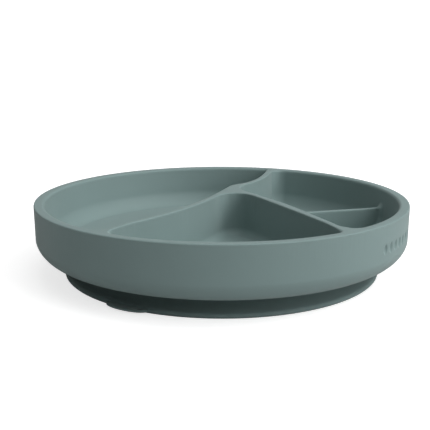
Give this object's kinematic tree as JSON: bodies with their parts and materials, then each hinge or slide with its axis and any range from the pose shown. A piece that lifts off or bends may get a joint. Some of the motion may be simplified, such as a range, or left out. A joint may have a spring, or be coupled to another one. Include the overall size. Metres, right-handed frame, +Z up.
{
  "type": "suction plate",
  "caption": "Round divided plate for a small child on a hollow suction base, with compartments of unequal size and a pull tab that releases the suction.",
  "frame": {"origin": "centre of the bounding box on the table plane, on the plate's axis under the suction lip", "axes": "+Z up along the plate's axis, +Y towards the back of the plate, +X towards the small compartments"},
  "size_m": [0.19, 0.19, 0.0366],
  "materials": {
    "plate_silicone": "matt grey-green silicone",
    "base_silicone": "matt grey-green silicone, softer grade"
  },
  "bodies": {
    "suction_base": {"suction_lip": "base_silicone", "suction_skirt": "base_silicone"},
    "plate": {"plate_wall": "plate_silicone", "plate_floor": "plate_silicone", "divider_front_left": "plate_silicone", "divider_back": "plate_silicone", "divider_front_right": "plate_silicone", "divider_low": "plate_silicone", "base_neck": "plate_silicone"},
    "pull_tab": {"pull_tab": "base_silicone"}
  },
  "joints": [
    {"name": "press_down", "type": "slide", "parent": "suction_base", "child": "plate", "axis": [0, 0, -1], "range_m": [0, 0.003], "stiffness_N_per_m": 4000, "springref_m": -0.002, "deforming": ["suction_skirt"]},
    {"name": "tab_lift", "type": "hinge", "parent": "suction_base", "child": "pull_tab", "pos_m": [-0.04237, -0.06915, 0.0012], "axis": [-0.8526, 0.5225, 0], "range_deg": [0, 50], "stiffness_Nm_per_rad": 0.004, "springref_deg": -5.73}
  ]
}
